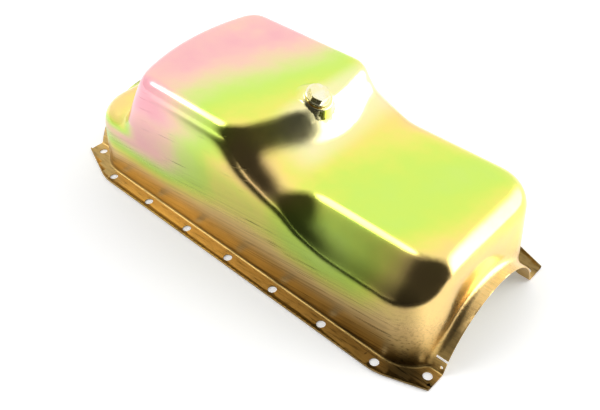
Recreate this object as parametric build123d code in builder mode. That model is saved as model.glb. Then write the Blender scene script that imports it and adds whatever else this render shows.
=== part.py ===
from build123d import *
import os
from math import cos, radians, sin, tan

# Engine oil pan, drawn from one steel sheet, seen as it lies on a bench: flange down, sump up.
# The origin is the centre of the pan's length and width, on the underside of the flange.
# X runs along the engine, towards the shallow end. Y runs across it, and -Y is the scoop's side.
# Z is up, away from the engine block.

# Sheet and flange
sheet = 1.5
flange_half_length = 273.5
flange_half_width = 127.0
ear_left_half_width = 103.3
ear_right_half_width = 108.5
taper_left_x = -211.0
taper_right_x = 222.0
taper_blend = 60.0
lip_height = 3.6
lip_bend_radius = 2.0
flange_bend_radius = 3.0

# Bolt holes: two rails of equal pitch, and one hole in each ear
bolt_hole_dia = 10.0
rail_pitch = 70.0
rail_holes = 7
rail_centre_x = 5.0
rail_hole_y = 116.7
ear_left_x = -257.5
ear_left_y = 94.2
ear_right_x = 263.4
ear_right_y = 94.5

# Drawn body: where its walls leave the flange, and their draft
body_left_x = -257.0
body_right_x = 263.0
body_half_width = 106.5
body_corner_radius = 47.0
near_draft = 1.0
far_draft = 2.2
end_draft = 4.0

# Levels of the three floors above the flange's underside
sump_depth = 171.0
shelf_depth = 88.0
shallow_depth = 126.0

# Sloping end walls of the sump, in plan at the shelf's level: a bulge to the left, a nose to the right
sump_slope = 27.0
bulge_x = -206.5
bulge_y = 12.0
bulge_radius = 294.0
bulge_near_turn = 20.5
bulge_far_turn = 14.5
shoulder_radius = 90.0
nose_x = 91.7
nose_y = 3.9
nose_near_turn = 24.0
nose_far_turn = 14.0
nose_radius = 150.0

# Fairing that eases the sump's right wall into the shallow floor
fairing_slope = 24.0
fairing_foot_x = 95.0
fairing_foot_y = 95.0
fairing_turn = 80.0

# Starter scoop in the near side of the shallow end: a sloping wall that wraps the end's corner,
# a cheek that closes it towards the sump, and a ramp between them
scoop_wall_y = -71.0
scoop_wall_slope = 53.5
scoop_wrap_x = 234.0
scoop_wrap_turn = 45.0
scoop_wrap_slope = 62.0
scoop_cheek_x = 91.0
scoop_cheek_turn = 48.0
scoop_cheek_slope = 55.0
scoop_ramp_x = 47.0
scoop_ramp_slope = 27.0

# Bend radii of the outer skin
left_crown_radius = 26.0
right_crown_radius = 28.0
sump_crown_radius = 18.0
shelf_foot_radius = 18.0
sump_foot_radius = 12.0
fairing_foot_radius = 35.0
scoop_wrap_radius = 30.0
scoop_hollow_radius = 16.0
scoop_rim_radius = 8.0

# Where those bends are looked for: the crowns' reach along the pan, how far the side walls lean in
# over their height, and a height above the shallow floor that the fairing's foot stays under
left_crown_end_x = -121.5
right_crown_start_x = -20.0
wall_lean = 8.0
foot_rise = 5.0

# Seal arches in both end walls, over the crankshaft
arch_radius = 87.2
arch_centre_z = -22.1
arch_bend_radius = 8.0

# Slot and pin hole in the right arch, at its near foot
slot_length = 13.0
slot_width = 3.2
slot_angle = 25.4
pin_hole_dia = 3.5
pin_hole_angle = 20.0
pin_hole_inset = 3.6

# Drain pad: a flat disc pressed up out of the sump's right crown, and centred a little off the plug
drain_x = 33.4
drain_y = -0.9
drain_z = 173.0
drain_lean_x = 0.48
drain_lean_y = -0.08
pad_radius = 16.0
pad_shift_across = 2.0
pad_shift_up = -1.0
pad_flare = 35.0
pad_rim_radius = 2.0
pad_depth = 12.0

# Drain plug, sealing ring and weld nut
plug_shank_radius = 6.35
plug_shank_length = 16.0
plug_flange_radius = 13.65
plug_flange_thickness = 2.6
plug_hex_flats = 19.0
plug_hex_height = 5.0
plug_hex_chamfer = 0.8
plug_flange_chamfer = 0.6
ring_radius = 12.0
ring_thickness = 2.0
ring_clearance = 0.15
hole_clearance = 0.5
thread_clearance = 0.05
nut_flats = 22.0
nut_thickness = 8.0

bottom = (Align.CENTER, Align.CENTER, Align.MIN)
top = (Align.CENTER, Align.CENTER, Align.MAX)
wide = 3 * flange_half_width
drain_axis = Vector(drain_lean_x, drain_lean_y, (1 - drain_lean_x**2 - drain_lean_y**2) ** 0.5)
pad_centre = Vector(drain_x, drain_y, drain_z)
pad_plane = Plane(origin=pad_centre, x_dir=(0, 1, 0), z_dir=drain_axis)
head_plane = pad_plane.offset(ring_thickness + plug_flange_thickness)


def on_side_wall(edge, low_x, high_x, low_z):
    """Whether an edge lies on a side wall, in a given stretch of the pan and above a given height."""
    points = [edge.position_at(share) for share in (0.02, 0.5, 0.98)]
    across = [abs(point.Y) for point in points]
    on_wall = body_half_width - wall_lean < min(across) and max(across) < body_half_width
    return on_wall and low_x < points[1].X < high_x and min(point.Z for point in points) > low_z


def drafted_block(inset):
    """The block inside the four drafted walls, with its corners rounded."""
    near = radians(near_draft)
    far = radians(far_draft)
    end = radians(end_draft)
    near_wall = Plane(origin=(0, -body_half_width, 0), z_dir=(0, -cos(near), sin(near)))
    far_wall = Plane(origin=(0, body_half_width, 0), z_dir=(0, cos(far), sin(far)))
    left_wall = Plane(origin=(body_left_x, 0, 0), z_dir=(-cos(end), 0, sin(end)))
    right_wall = Plane(origin=(body_right_x, 0, 0), z_dir=(cos(end), 0, sin(end)))
    with BuildPart() as block:
        Box(2 * flange_half_length, wide, sump_depth, align=bottom)
        for wall in (near_wall, far_wall, left_wall, right_wall):
            split(bisect_by=wall.offset(-inset), keep=Keep.BOTTOM)
        fillet(block.edges().filter_by(Plane.XY, reverse=True), body_corner_radius - inset)
    return block.part


def sump_core(inset):
    """The sump above the shelf, between its two sloping end walls."""
    level = shelf_depth - inset / sin(radians(sump_slope))
    centre = Vector(bulge_x + bulge_radius, bulge_y)
    far = radians(bulge_far_turn)
    far_half = radians((bulge_far_turn + 90) / 2)
    far_end = centre + Vector(-cos(far), sin(far)) * bulge_radius
    far_shoulder = centre + Vector(-cos(far), sin(far)) * (bulge_radius - shoulder_radius)
    far_middle = far_shoulder + Vector(-cos(far_half), sin(far_half)) * shoulder_radius
    far_side = far_shoulder + Vector(0, shoulder_radius)
    near = radians(bulge_near_turn)
    near_half = radians((bulge_near_turn + 90) / 2)
    near_end = centre + Vector(-cos(near), -sin(near)) * bulge_radius
    near_shoulder = centre + Vector(-cos(near), -sin(near)) * (bulge_radius - shoulder_radius)
    near_middle = near_shoulder + Vector(-cos(near_half), -sin(near_half)) * shoulder_radius
    near_side = near_shoulder - Vector(0, shoulder_radius)
    near_x = nose_x - (nose_y - near_side.Y) * tan(radians(nose_near_turn))
    far_x = nose_x - (far_side.Y - nose_y) * tan(radians(nose_far_turn))
    with BuildPart() as core:
        with BuildSketch(Plane.XY.offset(level)) as plan:
            with BuildLine():
                ThreePointArc(far_end, (bulge_x, bulge_y), near_end)
                ThreePointArc(near_end, near_middle, near_side)
                Polyline(near_side, (near_x, near_side.Y), (nose_x, nose_y), (far_x, far_side.Y), far_side)
                ThreePointArc(far_side, far_middle, far_end)
            make_face()
            fillet(plan.vertices().sort_by(Axis.X)[-1], nose_radius)
        extrude(amount=sump_depth - inset - level, taper=sump_slope)
    return core.part


def facing(turn, slope):
    """The outward direction of a sloping wall, turned in plan from the near side towards the right end."""
    turn = radians(turn)
    slope = radians(slope)
    return Vector(sin(turn) * sin(slope), -cos(turn) * sin(slope), cos(slope))


def scoop_wall(inset):
    """The plane of the starter scoop's long wall."""
    start = (scoop_wrap_x, scoop_wall_y, shallow_depth)
    return Plane(origin=start, z_dir=facing(0, scoop_wall_slope)).offset(-inset)


def in_two(edge, *planes):
    """Whether an edge lies in two of the given planes."""
    middle = edge.position_at(0.5)
    return sum(abs((middle - plane.origin).dot(plane.z_dir)) < 0.01 for plane in planes) == 2


def scoop_form(inset):
    """What the starter scoop takes from the near side, with its inner bends."""
    wall = scoop_wall(inset)
    wrap_start = (scoop_wrap_x, scoop_wall_y, shallow_depth)
    wrap = Plane(origin=wrap_start, z_dir=facing(scoop_wrap_turn, scoop_wrap_slope)).offset(-inset)
    cheek_start = (scoop_cheek_x, scoop_wall_y, shallow_depth)
    cheek = Plane(origin=cheek_start, z_dir=facing(scoop_cheek_turn, scoop_cheek_slope)).offset(-inset)
    ramp = Plane(origin=(scoop_ramp_x, 0, shallow_depth), z_dir=facing(90, scoop_ramp_slope)).offset(-inset)
    with BuildPart() as standing:
        Box(4 * flange_half_length, 2 * wide, sump_depth, align=bottom)
        split(bisect_by=wall, keep=Keep.BOTTOM)
        split(bisect_by=wrap, keep=Keep.BOTTOM)
        fillet(standing.edges().filter_by(lambda edge: in_two(edge, wall, wrap)), scoop_wrap_radius - inset)
    with BuildPart() as scoop:
        Box(4 * flange_half_length, 2 * wide, sump_depth, align=bottom)
        split(bisect_by=cheek, keep=Keep.TOP)
        split(bisect_by=ramp, keep=Keep.TOP)
        add(standing.part, mode=Mode.SUBTRACT)
        hollow = scoop.edges().filter_by(lambda edge: in_two(edge, wall, cheek, ramp))
        fillet(hollow, scoop_hollow_radius + inset)
    return scoop.part


def drain_pad(inset):
    """The flat disc under the drain plug, with a flared side and a rounded rim."""
    flare = radians(pad_flare)
    radius = pad_radius + inset * tan(flare) - inset / cos(flare)
    with BuildPart(pad_plane.offset(-inset)) as pad:
        with Locations((pad_shift_across, pad_shift_up)):
            Cone(radius + pad_depth * tan(flare), radius, pad_depth, align=top)
        rim = pad.edges().filter_by(GeomType.CIRCLE).sort_by(SortBy.RADIUS)[0]
        fillet(rim, pad_rim_radius - inset)
    return pad.part


def on_plane(face, plane):
    """Whether a flat face lies in a plane."""
    flat = face.geom_type == GeomType.PLANE
    return flat and abs((face.center() - plane.origin).dot(plane.z_dir)) < 0.01


def at_sump_foot(edge, floor):
    """Whether an edge of the fairing is clear of the side walls and of the shallow floor."""
    middle = edge.position_at(0.5)
    return middle.Z > floor + foot_rise and abs(middle.Y) < body_half_width - wall_lean


def pan_form(inset):
    """The outer form of the drawn body, or the same form moved in by a sheet's thickness."""
    shelf = shelf_depth - inset
    shallow = shallow_depth - inset
    foot = (fairing_foot_x, fairing_foot_y, shallow_depth)
    fairing_top = Plane(origin=foot, z_dir=facing(fairing_turn, fairing_slope)).offset(-inset)
    with BuildPart() as fairing:
        Box(flange_half_length, wide, sump_depth - inset, align=(Align.MIN, Align.CENTER, Align.MIN))
        split(bisect_by=fairing_top, keep=Keep.BOTTOM)
    with BuildPart() as form:
        Box(2 * flange_half_length, wide, shelf, align=bottom)
        Box(flange_half_length, wide, shallow, align=(Align.MIN, Align.CENTER, Align.MIN))
        add(fairing.part)
        add(sump_core(inset))
        add(drafted_block(inset), mode=Mode.INTERSECT)

        # Inner bends first: the shelf's foot, the fairing's foot, and the sump's foot on the fairing
        shelf_foot = form.edges().filter_by(GeomType.CIRCLE)
        shelf_foot = shelf_foot.filter_by_position(Axis.Z, shelf - 0.01, shelf + 0.01)
        fillet(shelf_foot, shelf_foot_radius + inset)
        fairing_foot = form.edges().filter_by(GeomType.LINE)
        fairing_foot = fairing_foot.filter_by_position(Axis.Z, shallow - 0.01, shallow + 0.01)
        fillet(fairing_foot.sort_by(Edge.length)[-1], fairing_foot_radius + inset)
        slope = form.faces().filter_by(lambda face: on_plane(face, fairing_top))
        sump_foot = slope.edges().filter_by(lambda edge: at_sump_foot(edge, shallow))
        fillet(sump_foot, sump_foot_radius + inset)

        # Outer bends along both side walls, then the scoop, and last the sump's crown
        left = (-flange_half_length, left_crown_end_x, shelf - sheet)
        right = (right_crown_start_x, flange_half_length, shallow - sheet)
        fillet(form.edges().filter_by(lambda edge: on_side_wall(edge, *left)), left_crown_radius - inset)
        fillet(form.edges().filter_by(lambda edge: on_side_wall(edge, *right)), right_crown_radius - inset)
        add(scoop_form(inset), mode=Mode.SUBTRACT)
        wall = form.faces().filter_by(lambda face: on_plane(face, scoop_wall(inset)))
        fillet(wall.edges().sort_by(Axis.Z)[-1], scoop_rim_radius - inset)
        fillet(form.edges().group_by(Axis.Z)[-1], sump_crown_radius - inset)

        add(drain_pad(inset))
    return form.part


def tunnel(radius, half_length, low_z):
    """The round-topped form of both seal arches, run through the whole length of the pan."""
    with BuildPart() as through:
        with BuildSketch(Plane.YZ):
            with Locations((0, arch_centre_z)):
                Circle(radius)
            with Locations((0, low_z)):
                Rectangle(2 * radius, 2 * radius, align=(Align.CENTER, Align.MIN), mode=Mode.INTERSECT)
        extrude(amount=half_length, both=True)
    return through.part


def skin_form(inset):
    """The drawn body joined to both seal arches, or the hollow inside them."""
    low_z = -inset
    with BuildPart() as skin:
        add(pan_form(inset))
        add(tunnel(arch_radius - inset, flange_half_length + inset, low_z))
        arches = skin.faces().filter_by(GeomType.CYLINDER)
        arches = arches.filter_by(lambda face: abs(face.radius - arch_radius + inset) < 0.01)
        bends = arches.edges().filter_by(GeomType.LINE, reverse=True)
        bends = bends.filter_by_position(Axis.X, -flange_half_length + sheet, flange_half_length - sheet)
        fillet(bends, arch_bend_radius + inset)
    return skin.part


def at_flange_bend(edge, level_z):
    """Whether an edge at a given level bounds the flange where the body or an arch leaves it."""
    points = [edge.position_at(share) for share in (0, 0.5, 1)]
    level = all(abs(point.Z - level_z) < 0.01 for point in points)
    inboard = all(abs(point.Y) < body_half_width + 0.01 for point in points)
    return level and inboard and abs(points[1].X) < flange_half_length - 2 * sheet


def on_arch(x, angle):
    """A plane square to the near foot of an arch, at an angle up from the arch's centre."""
    out = Vector(0, -cos(radians(angle)), sin(radians(angle)))
    return Plane(origin=Vector(x, 0, arch_centre_z) + out * arch_radius, x_dir=(1, 0, 0), z_dir=out)


os.makedirs("parts", exist_ok=True)

# Oil pan: one pressed sheet, made as its outer form less the same form moved in by the sheet
with BuildPart() as oil_pan:
    with BuildSketch() as plan:
        with BuildLine():
            Polyline(
                (-flange_half_length, -ear_left_half_width),
                (taper_left_x, -flange_half_width),
                (taper_right_x, -flange_half_width),
                (flange_half_length, -ear_right_half_width),
                (flange_half_length, ear_right_half_width),
                (taper_right_x, flange_half_width),
                (taper_left_x, flange_half_width),
                (-flange_half_length, ear_left_half_width),
                close=True,
            )
        make_face()
        fillet(plan.vertices().filter_by_position(Axis.X, taper_left_x, taper_right_x), taper_blend)
    extrude(amount=lip_height)

    # Turned-up lip along both rails and their tapers, open at the two ends
    ends = oil_pan.edges().filter_by(Axis.Y)
    fillet(oil_pan.edges().group_by(Axis.Z)[0] - ends, lip_bend_radius)
    with BuildSketch(Plane.XY.offset(sheet)):
        add(plan.sketch)
        offset(amount=-sheet, mode=Mode.REPLACE)
    extrude(amount=lip_height, mode=Mode.SUBTRACT)
    with Locations((-flange_half_length, 0, sheet)):
        Box(3 * sheet, 2 * (ear_left_half_width - sheet), lip_height, align=bottom, mode=Mode.SUBTRACT)
    with Locations((flange_half_length, 0, sheet)):
        Box(3 * sheet, 2 * (ear_right_half_width - sheet), lip_height, align=bottom, mode=Mode.SUBTRACT)

    # Drawn body and seal arches, bent into the flange on both faces of the sheet
    add(skin_form(0))
    fillet(oil_pan.edges().filter_by(lambda edge: at_flange_bend(edge, sheet)), flange_bend_radius)
    add(skin_form(sheet), mode=Mode.SUBTRACT)
    fillet(oil_pan.edges().filter_by(lambda edge: at_flange_bend(edge, 0)), flange_bend_radius + sheet)

    # Bolt holes along the rails and in the ears, the drain hole, and the slot and pin hole of the arch
    with BuildSketch():
        with Locations((rail_centre_x, 0)):
            with GridLocations(rail_pitch, 2 * rail_hole_y, rail_holes, 2):
                Circle(bolt_hole_dia / 2)
        with Locations((ear_left_x, 0)):
            with GridLocations(0, 2 * ear_left_y, 1, 2):
                Circle(bolt_hole_dia / 2)
        with Locations((ear_right_x, 0)):
            with GridLocations(0, 2 * ear_right_y, 1, 2):
                Circle(bolt_hole_dia / 2)
    extrude(amount=2 * sheet, both=True, mode=Mode.SUBTRACT)
    with Locations(pad_plane):
        Cylinder(plug_shank_radius + hole_clearance, 2 * pad_depth, mode=Mode.SUBTRACT)
    with Locations(on_arch(flange_half_length, slot_angle)):
        Box(2 * slot_length, slot_width, 4 * sheet, mode=Mode.SUBTRACT)
    with Locations(on_arch(flange_half_length - pin_hole_inset, pin_hole_angle)):
        Cylinder(pin_hole_dia / 2, 4 * sheet, mode=Mode.SUBTRACT)

# Sealing ring: a flat copper washer on the pad
with BuildPart(pad_plane) as plug_gasket:
    Cylinder(ring_radius, ring_thickness, align=bottom)
    Cylinder(plug_shank_radius + ring_clearance, ring_thickness, align=bottom, mode=Mode.SUBTRACT)

# Drain plug: a hexagon head with a washer face, and a plain shank in place of its thread
with BuildPart(head_plane) as drain_plug:
    Cylinder(plug_hex_flats / 2 / cos(radians(30)), plug_hex_height, align=bottom)
    chamfer(drain_plug.faces().sort_by(Axis(pad_centre, drain_axis))[-1].edges(), plug_hex_chamfer)
    with BuildSketch(head_plane):
        RegularPolygon(plug_hex_flats / 2, 6, major_radius=False)
    extrude(amount=plug_hex_height, mode=Mode.INTERSECT)
    with Locations((0, 0, -plug_flange_thickness)):
        Cylinder(plug_flange_radius, plug_flange_thickness, align=bottom)
        Cylinder(plug_shank_radius, plug_shank_length + ring_thickness, align=top)
    rim = drain_plug.edges().filter_by(GeomType.CIRCLE).group_by(SortBy.RADIUS)[-1]
    chamfer(rim.sort_by(Axis(pad_centre, drain_axis))[-1], plug_flange_chamfer)

# Weld nut: a plain hexagon nut fixed under the pad, inside the sump
with BuildPart() as drain_nut:
    with BuildSketch(pad_plane.offset(-sheet)):
        RegularPolygon(nut_flats / 2, 6, major_radius=False)
        Circle(plug_shank_radius + thread_clearance, mode=Mode.SUBTRACT)
    extrude(amount=-nut_thickness)

oil_pan.part.label = "oil_pan"
plug_gasket.part.label = "plug_gasket"
drain_plug.part.label = "drain_plug"
drain_nut.part.label = "drain_nut"
export_step(oil_pan.part, "parts/oil_pan.step")
export_step(plug_gasket.part, "parts/plug_gasket.step")
export_step(drain_plug.part, "parts/drain_plug.step")
export_step(drain_nut.part, "parts/drain_nut.step")
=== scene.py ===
import math
import bmesh
import bpy
import numpy as np
from mathutils import Matrix, Vector, kdtree
from mathutils.bvhtree import BVHTree


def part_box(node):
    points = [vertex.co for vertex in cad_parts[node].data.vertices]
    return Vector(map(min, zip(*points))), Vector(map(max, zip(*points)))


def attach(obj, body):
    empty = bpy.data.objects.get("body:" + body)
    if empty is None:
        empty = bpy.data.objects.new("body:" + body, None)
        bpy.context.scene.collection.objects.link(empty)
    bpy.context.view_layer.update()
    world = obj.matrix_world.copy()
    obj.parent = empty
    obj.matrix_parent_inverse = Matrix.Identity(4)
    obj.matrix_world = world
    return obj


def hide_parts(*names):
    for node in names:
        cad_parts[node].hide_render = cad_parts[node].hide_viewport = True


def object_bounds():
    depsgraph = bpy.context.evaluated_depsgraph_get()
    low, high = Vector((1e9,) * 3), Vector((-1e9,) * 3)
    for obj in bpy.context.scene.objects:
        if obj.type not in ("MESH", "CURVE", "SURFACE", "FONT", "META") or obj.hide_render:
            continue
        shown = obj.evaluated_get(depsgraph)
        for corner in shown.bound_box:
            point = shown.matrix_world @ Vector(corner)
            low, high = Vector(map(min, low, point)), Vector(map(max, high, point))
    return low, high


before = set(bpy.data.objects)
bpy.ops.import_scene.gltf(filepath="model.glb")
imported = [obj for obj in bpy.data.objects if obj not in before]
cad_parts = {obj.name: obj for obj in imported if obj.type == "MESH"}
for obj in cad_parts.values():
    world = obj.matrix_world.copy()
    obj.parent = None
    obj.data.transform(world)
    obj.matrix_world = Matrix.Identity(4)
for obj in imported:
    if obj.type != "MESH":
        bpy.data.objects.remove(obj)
cad_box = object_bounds()

# Camera: stands to the right of the near rail and looks down on the pan at about forty degrees.
# Its place, turn and lens come from the bolt rows, which run straight and evenly spaced.
camera_turn = math.radians(42.515)
camera_tilt = math.radians(42.349)
camera_right = Vector((math.cos(camera_turn), math.sin(camera_turn), 0))
camera_up = Vector((
    -math.sin(camera_turn) * math.sin(camera_tilt),
    math.cos(camera_turn) * math.sin(camera_tilt),
    math.cos(camera_tilt),
))
camera_data = bpy.data.cameras.new("camera")
camera_data.sensor_width = 36.0
camera_data.lens = 44.125
camera_data.clip_end = 50.0
camera = bpy.data.objects.new("camera", camera_data)
camera_place = (0.452967, -0.48453, 0.604479)
camera_axes = Matrix((camera_right, camera_up, camera_right.cross(camera_up))).transposed()
camera.matrix_world = Matrix.Translation(camera_place) @ camera_axes.to_4x4()
bpy.context.scene.collection.objects.link(camera)
bpy.context.scene.camera = camera
bpy.context.scene.view_settings.view_transform = "Standard"


# Oil pan: one sheet of steel, deep drawn, trimmed and pierced, then plated with yellow zinc.
# The press leaves its bends softer than plain radii, so the solid's mesh is cut into an even grid and eased,
# most round the scoop and the sump's near corner, and not at all on the flange, the arches and the drain pad.
grid_step = 0.007
guide_step = 0.003
same_point = 1e-6
flat_enough = 0.002
facing_up = 0.002
skirt_foot = -0.06
snap_reach = 0.0015
easing_rounds = 48
easing_stride = 0.5
body_easing = 0.22
flange_clear = (0.010, 0.034)
end_wall = (0.222, 0.238)
scoop_middle = np.array((0.105, -0.085, 0.130))
scoop_reach = np.array((0.190, 0.070, 0.090))
scoop_fade = (0.55, 1.15)
arch_radius = 0.0872
arch_centre_z = -0.0221
arch_margin = 0.020
pad_middle = np.array((0.0334, -0.0009, 0.173))
pad_margin = 0.024
flange_height = 0.008
guides_followed = 6
guide_blur = 0.0006
outer_skin_depth = -0.0007
crease_angle = math.radians(32)
least_soft = 0.01
normal_gain = 6


def eased(values, low, high):
    """0 below low, 1 above high, and a soft turn between them."""
    share = np.clip((values - low) / (high - low), 0, 1)
    return share * share * (3 - 2 * share)


def softness(points):
    """How much of the easing each point takes."""
    free = eased(points[:, 2], *flange_clear)
    from_arch = np.hypot(points[:, 1], points[:, 2] - arch_centre_z) - arch_radius
    in_end = eased(np.abs(points[:, 0]), *end_wall)
    free *= 1 - in_end * (1 - eased(from_arch, arch_margin * 0.5, arch_margin * 2))
    free *= eased(np.linalg.norm(points - pad_middle, axis=1), pad_margin, pad_margin * 2)
    away = np.linalg.norm((points - scoop_middle) / scoop_reach, axis=1)
    return free * (body_easing + (1 - body_easing) * (1 - eased(away, *scoop_fade)))


def evenly_remeshed(sheet, step):
    """The outer skin of the sheet, closed far below itself and cut into even cells."""
    skin = sheet.copy()
    under = [face for face in skin.faces if face.normal.z < facing_up]
    bmesh.ops.delete(skin, geom=under, context="FACES")
    rims = [edge for edge in skin.edges if edge.is_boundary]
    made = bmesh.ops.duplicate(skin, geom=skin.verts[:] + skin.edges[:] + skin.faces[:])
    below = made["vert_map"]
    for edge in rims:
        first, second = edge.verts
        skin.faces.new((first, second, below[second], below[first]))
    for item in made["geom"]:
        if isinstance(item, bmesh.types.BMVert):
            item.co.z = skirt_foot
    bmesh.ops.recalc_face_normals(skin, faces=skin.faces)
    closed = bpy.data.objects.new("closed_skin", bpy.data.meshes.new("closed_skin"))
    skin.to_mesh(closed.data)
    skin.free()
    bpy.context.scene.collection.objects.link(closed)
    remesh = closed.modifiers.new("even", "REMESH")
    remesh.mode = "VOXEL"
    remesh.voxel_size = step
    even = bpy.data.meshes.new_from_object(closed.evaluated_get(bpy.context.evaluated_depsgraph_get()))
    bpy.data.objects.remove(closed)
    return even


def smoothed(places, edges, weights, rounds):
    """Each place moved towards the middle of its neighbours, round after round, by its weight."""
    neighbours = np.bincount(edges.ravel(), minlength=len(places))[:, None]
    places = places.copy()
    for _ in range(rounds):
        total = np.zeros_like(places)
        np.add.at(total, edges[:, 0], places[edges[:, 1]])
        np.add.at(total, edges[:, 1], places[edges[:, 0]])
        places += weights[:, None] * easing_stride * (total / neighbours - places)
    return places


pan_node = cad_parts["oil_pan"]
sheet = bmesh.new()
sheet.from_mesh(pan_node.data)
bmesh.ops.remove_doubles(sheet, verts=sheet.verts, dist=same_point)
skin_tree = BVHTree.FromBMesh(sheet)

# The guide is the eased outer skin. Only its points on the sheet count, not those of its closing skirt.
guide = evenly_remeshed(sheet, guide_step)
guide_places = np.empty(len(guide.vertices) * 3)
guide.vertices.foreach_get("co", guide_places)
guide_places = guide_places.reshape(-1, 3)
on_skin = np.zeros(len(guide_places), dtype=bool)
for index, place in enumerate(guide_places):
    nearest = skin_tree.find_nearest(Vector(place), snap_reach)
    if nearest[0]:
        guide_places[index] = nearest[0]
        on_skin[index] = True
guide_edges = np.empty(len(guide.edges) * 2, dtype=np.int64)
guide.edges.foreach_get("vertices", guide_edges)
guide_edges = guide_edges.reshape(-1, 2)
eased_places = smoothed(guide_places, guide_edges, softness(guide_places) * on_skin, easing_rounds)
guide.vertices.foreach_set("co", eased_places.ravel())
guide.update()
guide_normals = np.array([vertex.normal[:] for vertex in guide.vertices])
guide_tree = kdtree.KDTree(len(guide_places))
for index in np.flatnonzero(on_skin):
    guide_tree.insert(guide_places[index], int(index))
guide_tree.balance()

# The same cells are cut into both skins of the sheet, and each corner follows the guide beside it.
bmesh.ops.dissolve_limit(sheet, angle_limit=flat_enough, verts=sheet.verts, edges=sheet.edges)
low_corner, high_corner = (Vector(corner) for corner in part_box("oil_pan"))
for axis in range(3):
    direction = [0, 0, 0]
    direction[axis] = 1
    for step in range(1, int((high_corner[axis] - low_corner[axis]) / grid_step) + 1):
        cut = [0, 0, 0]
        cut[axis] = low_corner[axis] + step * grid_step
        everything = sheet.verts[:] + sheet.edges[:] + sheet.faces[:]
        bmesh.ops.bisect_plane(sheet, geom=everything, plane_co=cut, plane_no=direction, dist=same_point)
bmesh.ops.triangulate(sheet, faces=sheet.faces)
sheet.verts.index_update()
soft_share = softness(np.array([vertex.co[:] for vertex in sheet.verts]))
soft_normals = {}
for vertex in sheet.verts:
    if vertex.co.z > flange_height:
        found = guide_tree.find_n(vertex.co, guides_followed)
        nearness = np.array([1 / (distance + guide_blur) ** 2 for _, _, distance in found])
        nearness /= nearness.sum()
        chosen = [index for _, index, _ in found]
        outward = nearness @ guide_normals[chosen]
        depth = (np.array(vertex.co) - nearness @ guide_places[chosen]) @ outward
        facing = outward if depth > outer_skin_depth else -outward
        soft_normals[vertex.index] = Vector(facing).normalized()
        vertex.co += Vector(nearness @ (eased_places[chosen] - guide_places[chosen]))
pan_mesh = bpy.data.meshes.new("drawn_pan")
sheet.to_mesh(pan_mesh)
sheet.free()
pan_mesh.shade_smooth()
pan_mesh.set_sharp_from_angle(angle=crease_angle)
corner_normals = [Vector(corner.vector) for corner in pan_mesh.corner_normals]
for corner, loop in enumerate(pan_mesh.loops):
    index = loop.vertex_index
    if index in soft_normals and soft_share[index] > least_soft:
        share = min(1.0, soft_share[index] * normal_gain)
        corner_normals[corner] = corner_normals[corner].lerp(soft_normals[index], share).normalized()
pan_mesh.normals_split_custom_set(corner_normals)
drawn_pan = bpy.data.objects.new("drawn_pan", pan_mesh)
bpy.context.scene.collection.objects.link(drawn_pan)
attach(drawn_pan, "pan")
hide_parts("oil_pan")


class Value:
    """A shader value: sums and products of values add their own Math nodes."""

    def __init__(self, tree, socket):
        self.tree = tree
        self.socket = socket

    def math(self, operation, *others):
        node = self.tree.nodes.new("ShaderNodeMath")
        node.operation = operation
        for slot, value in zip(node.inputs, (self, *others)):
            plug(self.tree, slot, value)
        return Value(self.tree, node.outputs[0])

    def __add__(self, other):
        return self.math("ADD", other)

    __radd__ = __add__

    def __mul__(self, other):
        return self.math("MULTIPLY", other)

    __rmul__ = __mul__

    def __sub__(self, other):
        return self.math("SUBTRACT", other)

    def __rsub__(self, other):
        return self.math("MULTIPLY", -1.0).math("ADD", other)

    def __abs__(self):
        return self.math("ABSOLUTE")

    def rise(self, low, high):
        """0 below low, 1 above high, and a soft turn between them."""
        node = self.tree.nodes.new("ShaderNodeMapRange")
        node.interpolation_type = "SMOOTHSTEP"
        node.clamp = True
        for slot, value in zip(node.inputs[:5], (self, low, high, 0.0, 1.0)):
            plug(self.tree, slot, value)
        return Value(self.tree, node.outputs[0])


def plug(tree, slot, value):
    """Links a value to a socket, or sets the socket to it."""
    if isinstance(value, Value):
        tree.links.new(value.socket, slot)
    else:
        slot.default_value = value


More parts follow.
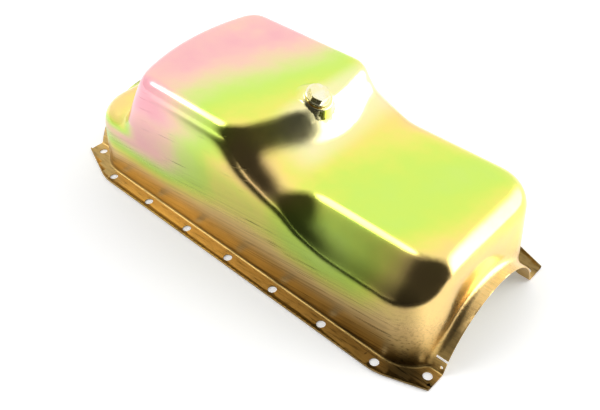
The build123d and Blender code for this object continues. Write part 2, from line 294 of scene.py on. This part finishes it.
class Finish:
    """A material whose nodes are added by type, settings and inputs."""

    def __init__(self, name):
        self.material = bpy.data.materials.new(name)
        self.material.use_nodes = True
        self.tree = self.material.node_tree
        self.tree.nodes.clear()
        self.place = self.node("ShaderNodeTexCoord", output="Object")

    def node(self, kind, settings=None, inputs=None, output=0):
        made = self.tree.nodes.new(kind)
        for key, value in (settings or {}).items():
            setattr(made, key, value)
        for key, value in (inputs or {}).items():
            plug(self.tree, made.inputs[key], value)
        return Value(self.tree, made.outputs[output])

    def axis(self, index):
        split = self.node("ShaderNodeSeparateXYZ", inputs={0: self.place})
        return Value(self.tree, split.socket.node.outputs[index])

    def stretched(self, scale):
        return self.node("ShaderNodeMapping", inputs={"Vector": self.place, "Scale": scale})

    def turned(self, degrees):
        """The place on the object, turned about the pan's width."""
        rotation = (0, math.radians(degrees), 0)
        return self.node("ShaderNodeMapping", inputs={"Vector": self.place, "Rotation": rotation})

    def scaled(self, place, scale):
        return self.node("ShaderNodeVectorMath", {"operation": "MULTIPLY"}, {0: place, 1: scale})

    def cloud(self, scale, detail=2.0, rough=0.5, place=None):
        where = place or self.place
        inputs = {"Vector": where, "Scale": scale, "Detail": detail, "Roughness": rough}
        return self.node("ShaderNodeTexNoise", inputs=inputs)

    def mix(self, factor, first, second, blend="MIX"):
        made = self.tree.nodes.new("ShaderNodeMix")
        made.data_type = "RGBA"
        made.blend_type = blend
        for key, value in ((0, factor), (6, first), (7, second)):
            plug(self.tree, made.inputs[key], value)
        return Value(self.tree, made.outputs[2])

    def ramp(self, factor, stops):
        made = self.tree.nodes.new("ShaderNodeValToRGB")
        made.color_ramp.interpolation = "B_SPLINE"
        elements = made.color_ramp.elements
        while len(elements) < len(stops):
            elements.new(0.5)
        for element, (where, colour) in zip(elements, stops):
            element.position = where
            element.color = colour
        plug(self.tree, made.inputs[0], factor)
        return Value(self.tree, made.outputs[0])

    def profile(self, where, stops):
        """A number that follows a smooth curve by the given stops; the product reads the grey as a number."""
        made = self.ramp(where, [(place, (level, level, level, 1)) for place, level in stops])
        return made * 1.0

    def shade(self, colour, tone):
        """A colour made lighter or darker by a number."""
        grey = self.node("ShaderNodeCombineColor", inputs={0: tone, 1: tone, 2: tone})
        return self.mix(1.0, colour, grey, blend="MULTIPLY")

    def bump(self, height, distance, strength, under=None):
        inputs = {"Height": height, "Distance": distance, "Strength": strength}
        if under:
            inputs["Normal"] = under
        return self.node("ShaderNodeBump", inputs=inputs)

    def close(self, constants, varying):
        shader = self.tree.nodes.new("ShaderNodeBsdfPrincipled")
        for key, value in {**constants, **varying}.items():
            plug(self.tree, shader.inputs[key], value)
        end = self.tree.nodes.new("ShaderNodeOutputMaterial")
        self.tree.links.new(shader.outputs[0], end.inputs[0])
        return self.material


def dress(node, finish):
    """Gives every slot of a CAD node the finish."""
    for slot in node.material_slots:
        slot.material = finish


# Shades of the plating's film, from the thinnest, a brown gold, to the thickest, a strong pink.
film_shades = [
    (0.00, (0.42, 0.24, 0.06, 1)),
    (0.16, (0.74, 0.50, 0.16, 1)),
    (0.30, (0.98, 0.66, 0.30, 1)),
    (0.42, (0.96, 0.84, 0.17, 1)),
    (0.56, (0.56, 0.87, 0.11, 1)),
    (0.68, (0.70, 0.84, 0.24, 1)),
    (0.80, (0.96, 0.66, 0.46, 1)),
    (0.92, (0.96, 0.49, 0.53, 1)),
    (1.00, (0.86, 0.38, 0.44, 1)),
]
# Painted reflection: the pale gold laid over the film on the top next to the drain plug.
painted_reflection_gold = (1.0, 0.95, 0.74, 1)

# Along the pan the film runs from pink at the left end, through green and yellow at the drain plug,
# to green and yellow again at the right end. Stops are shares of film_span, and film_slant leans the bands.
film_stops = [
    (0.00, 0.76), (0.09, 0.80), (0.16, 0.88), (0.27, 0.94), (0.36, 0.82), (0.43, 0.60), (0.50, 0.47),
    (0.60, 0.38), (0.68, 0.52), (0.76, 0.60), (0.85, 0.57), (0.90, 0.42), (0.96, 0.28),
]
film_middle = 0.012
film_slant = 0.30
film_span = 1 / 1.8
rim_thinner = 0.18
shelf_thinner = 0.48
painted_crown_reflection_gain = 0.10
painted_low_reflection_film = 0.13

plating = Finish("yellow_zinc_plating")
along = plating.axis(0)
across = plating.axis(1)
height = plating.axis(2)
drift = plating.cloud(9.0, detail=3.0) - 0.5
patches = plating.cloud(26.0, detail=4.0, rough=0.6) - 0.5
skew = along - film_middle - across * film_slant + drift * 0.06
profile = plating.profile(skew * (1 / film_span) + 0.5, film_stops)

# Patches of thinner and thicker film, each from where it starts to where it is full, in metres. The thicker
# film on the near crown is painted reflection.
rim = abs(across).rise(0.062, 0.105) * height.rise(0.10, 0.125) * along.rise(-0.05, 0.06)
shelf = (-1 * along).rise(0.15, 0.19) * height.rise(0.066, 0.082) * (1 - height.rise(0.092, 0.10))
# Low down the film turns to a brown gold. On the lower walls this is painted reflection of the flange and
# painted shade from the floor.
low = 1 - height.rise(0.010, 0.080)
# Painted reflection: the film is set thicker, and so pinker, along the near upper edge of the sump's left
# half.
painted_crown_reflection = (-1 * along).rise(-0.012, 0.014) * (-1 * across).rise(0.086, 0.098) * height.rise(0.115, 0.14)
patchy = drift * 0.14 + patches * 0.10
upper = profile - rim * rim_thinner - shelf * shelf_thinner + painted_crown_reflection * painted_crown_reflection_gain + patchy
thickness = upper * (1 - low) + low * painted_low_reflection_film + patches * 0.05
film = plating.ramp(thickness, film_shades)
# Painted reflection: a pale gold patch on the top next to the drain plug stands for the bright reflection
# there.
painted_reflection_patch = along.rise(0.010, 0.034) * (1 - along.rise(0.055, 0.085)) * height.rise(0.117, 0.130)
film_and_painted_reflection = plating.mix(painted_reflection_patch * across.rise(-0.075, -0.03) * 0.48, film, painted_reflection_gold)

# Draw marks run along the walls, a little uphill to the right, and the rails are brushed lengthwise.
slanted = plating.turned(8.0)
brushed = plating.cloud(1.0, detail=4.0, rough=0.6, place=plating.scaled(slanted, (5.0, 500.0, 420.0)))
scored = plating.cloud(1.0, detail=2.0, rough=0.5, place=plating.scaled(slanted, (9.0, 60.0, 700.0)))
wall = abs(across).rise(0.094, 0.101)
scratch = scored.rise(0.655, 0.69) * wall * plating.cloud(14.0).rise(0.50, 0.62)

# The metal is rougher low down, where its brushing shows darker, and it is darker on the rail, on the long
# sides and at the right foot of the near wall.
satin = 1 - height.rise(0.02, 0.10)
side = abs(across).rise(0.086, 0.101)
# Painted shade: the long sides are darker low down, and more so towards the right, for the darker reflections
# there.
painted_side_shade = side * (1 - height.rise(0.085, 0.14)) * (0.20 + along.rise(-0.16, 0.20) * 0.30)
# Painted shade: darker at the right foot of the near wall.
painted_foot_shade = along.rise(0.20, 0.262) * (1 - height.rise(0.012, 0.07)) * (1 - across.rise(-0.09, -0.03))
rail = 1 - height.rise(0.004, 0.012)
# The tone joins real marks, the brushing and the scratches, with the painted shade of the long sides and the
# right foot.
tone = 1 - brushed.rise(0.45, 0.75) * satin * 0.30 - scratch * 0.35 - painted_side_shade - painted_foot_shade * 0.08 - rail * 0.08
colour = plating.shade(film_and_painted_reflection, tone)
marks = plating.cloud(60.0, detail=6.0, rough=0.7, place=plating.stretched((0.25, 1.0, 1.6)))
roughness = 0.13 + marks * 0.08 + satin * 0.12 + brushed * satin * 0.10 + scratch * 0.2
ripple = plating.cloud(22.0, detail=2.0)
shaped = plating.bump(ripple, 0.0005, 0.5)
grained = plating.bump(brushed, 0.00004, 0.4, under=shaped)
plating_varies = {"Base Color": colour, "Roughness": roughness, "Normal": grained}
plating_finish = plating.close({"Metallic": 1.0}, plating_varies)
pan_mesh.materials.append(plating_finish)
dress(pan_node, plating_finish)

# Weld nut: a plain hexagon nut of mild steel under the drain pad, inside the sump.
# It is welded to the sheet and plated with the pan, so it has a dull shade of the same gold.
nut_steel = Finish("plated_nut_steel")
nut_grain = nut_steel.cloud(220.0, detail=4.0)
nut_colour = nut_steel.mix(nut_grain, (0.56, 0.48, 0.26, 1), (0.74, 0.66, 0.38, 1))
nut_rough = 0.28 + nut_grain * 0.14
nut_normal = nut_steel.bump(nut_grain, 0.00005, 0.4)
nut_varies = {"Base Color": nut_colour, "Roughness": nut_rough, "Normal": nut_normal}
dress(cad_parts["drain_nut"], nut_steel.close({"Metallic": 1.0}, nut_varies))

# Sealing ring: a flat washer of soft copper, stamped from sheet.
# It lies loose on the plug's shank until it is squeezed between the pad and the plug's round face.
copper = Finish("soft_copper")
copper_cloud = copper.cloud(160.0, detail=5.0, rough=0.6)
copper_colour = copper.mix(copper_cloud, (0.52, 0.26, 0.13, 1), (0.86, 0.52, 0.32, 1))
copper_rough = 0.30 + copper_cloud * 0.2
copper_normal = copper.bump(copper_cloud, 0.00006, 0.4)
copper_varies = {"Base Color": copper_colour, "Roughness": copper_rough, "Normal": copper_normal}
dress(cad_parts["plug_gasket"], copper.close({"Metallic": 1.0}, copper_varies))

# Drain plug: a hexagon head, a round washer face and a shank in one piece of steel.
# It is forged and turned, plated a paler yellow than the pan, and screwed into the weld nut.
plug_plating = Finish("pale_yellow_plating")
plug_cloud = plug_plating.cloud(90.0, detail=3.0)
plug_grain = plug_plating.cloud(700.0, detail=3.0, rough=0.6)
plug_colour = plug_plating.mix(plug_cloud.rise(0.35, 0.65), (0.94, 0.86, 0.48, 1), (0.92, 0.88, 0.66, 1))
plug_rough = 0.16 + plug_grain * 0.16
plug_normal = plug_plating.bump(plug_grain, 0.00003, 0.5)
plug_varies = {"Base Color": plug_colour, "Roughness": plug_rough, "Normal": plug_normal}
dress(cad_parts["drain_plug"], plug_plating.close({"Metallic": 1.0}, plug_varies))

# Floor: a plain white sheet of paper under the pan, which keeps its shadow.
# The camera sees it white all over. Its near side is painted near black for every ray but the camera's, so
# the metal's reflections of it are painted shade.
floor_reach = 4.0
floor_gap = 0.0002
paper_white = (0.9, 0.9, 0.9, 1)
painted_reflection_dark = (0.03, 0.03, 0.03, 1)
paper_glow = 0.3
floor_mesh = bpy.data.meshes.new("floor")
floor_form = bmesh.new()
bmesh.ops.create_grid(floor_form, x_segments=1, y_segments=1, size=floor_reach)
floor_form.to_mesh(floor_mesh)
floor_form.free()
floor = bpy.data.objects.new("floor", floor_mesh)
floor.location = (0, 0, cad_box[0][2] - floor_gap)
bpy.context.scene.collection.objects.link(floor)
paper = Finish("white_paper")
rays = paper.node("ShaderNodeLightPath")
seen = rays.math("MAXIMUM", Value(paper.tree, rays.socket.node.outputs["Is Glossy Ray"]))
painted_dark_edge = (-1 * paper.axis(1)).rise(0.22, 0.36) * paper.axis(0).rise(-0.42, -0.16) * (1 - rays)
paper_colour = paper.mix(painted_dark_edge, paper_white, painted_reflection_dark)
diffuse = paper.node("ShaderNodeBsdfDiffuse", inputs={"Color": paper_colour})
glow_strength = seen * paper_glow * (1 - painted_dark_edge)
glow = paper.node("ShaderNodeEmission", inputs={"Color": (1, 1, 1, 1), "Strength": glow_strength})
both = paper.node("ShaderNodeAddShader", inputs={0: diffuse, 1: glow})
plug(paper.tree, paper.tree.nodes.new("ShaderNodeOutputMaterial").inputs[0], both)
floor_mesh.materials.append(paper.material)

# Studio light: a bright tent round the pan, with no lamps in it.
# It has a low bright window to the right, a narrow strip overhead and a dim room on the near side.
tent_level = 1.05
room_loss = 1.01
window_gain = 3.2
strip_gain = 4.0
world = bpy.data.worlds.new("studio")
bpy.context.scene.world = world
world.use_nodes = True
tent = world.node_tree
background = tent.nodes["Background"]
background.inputs["Color"].default_value = (1, 1, 1, 1)


def towards(direction, low, high):
    """How near light comes to a direction: 0 outside the low cosine, 1 inside the high one."""
    coordinates = tent.nodes.new("ShaderNodeTexCoord")
    facing = tent.nodes.new("ShaderNodeVectorMath")
    facing.operation = "DOT_PRODUCT"
    tent.links.new(coordinates.outputs["Generated"], facing.inputs[0])
    facing.inputs[1].default_value = Vector(direction).normalized()
    return Value(tent, facing.outputs["Value"]).rise(low, high)


dim_room = towards((0.60, -0.75, 0.28), 0.12, 0.72)
window = towards((0.66, 0.70, 0.20), 0.76, 0.95)
strip = towards((-0.50, -0.37, 0.78), 0.955, 0.984)
lit = tent_level - dim_room * room_loss + window * window_gain + strip * strip_gain
plug(tent, background.inputs["Strength"], lit)
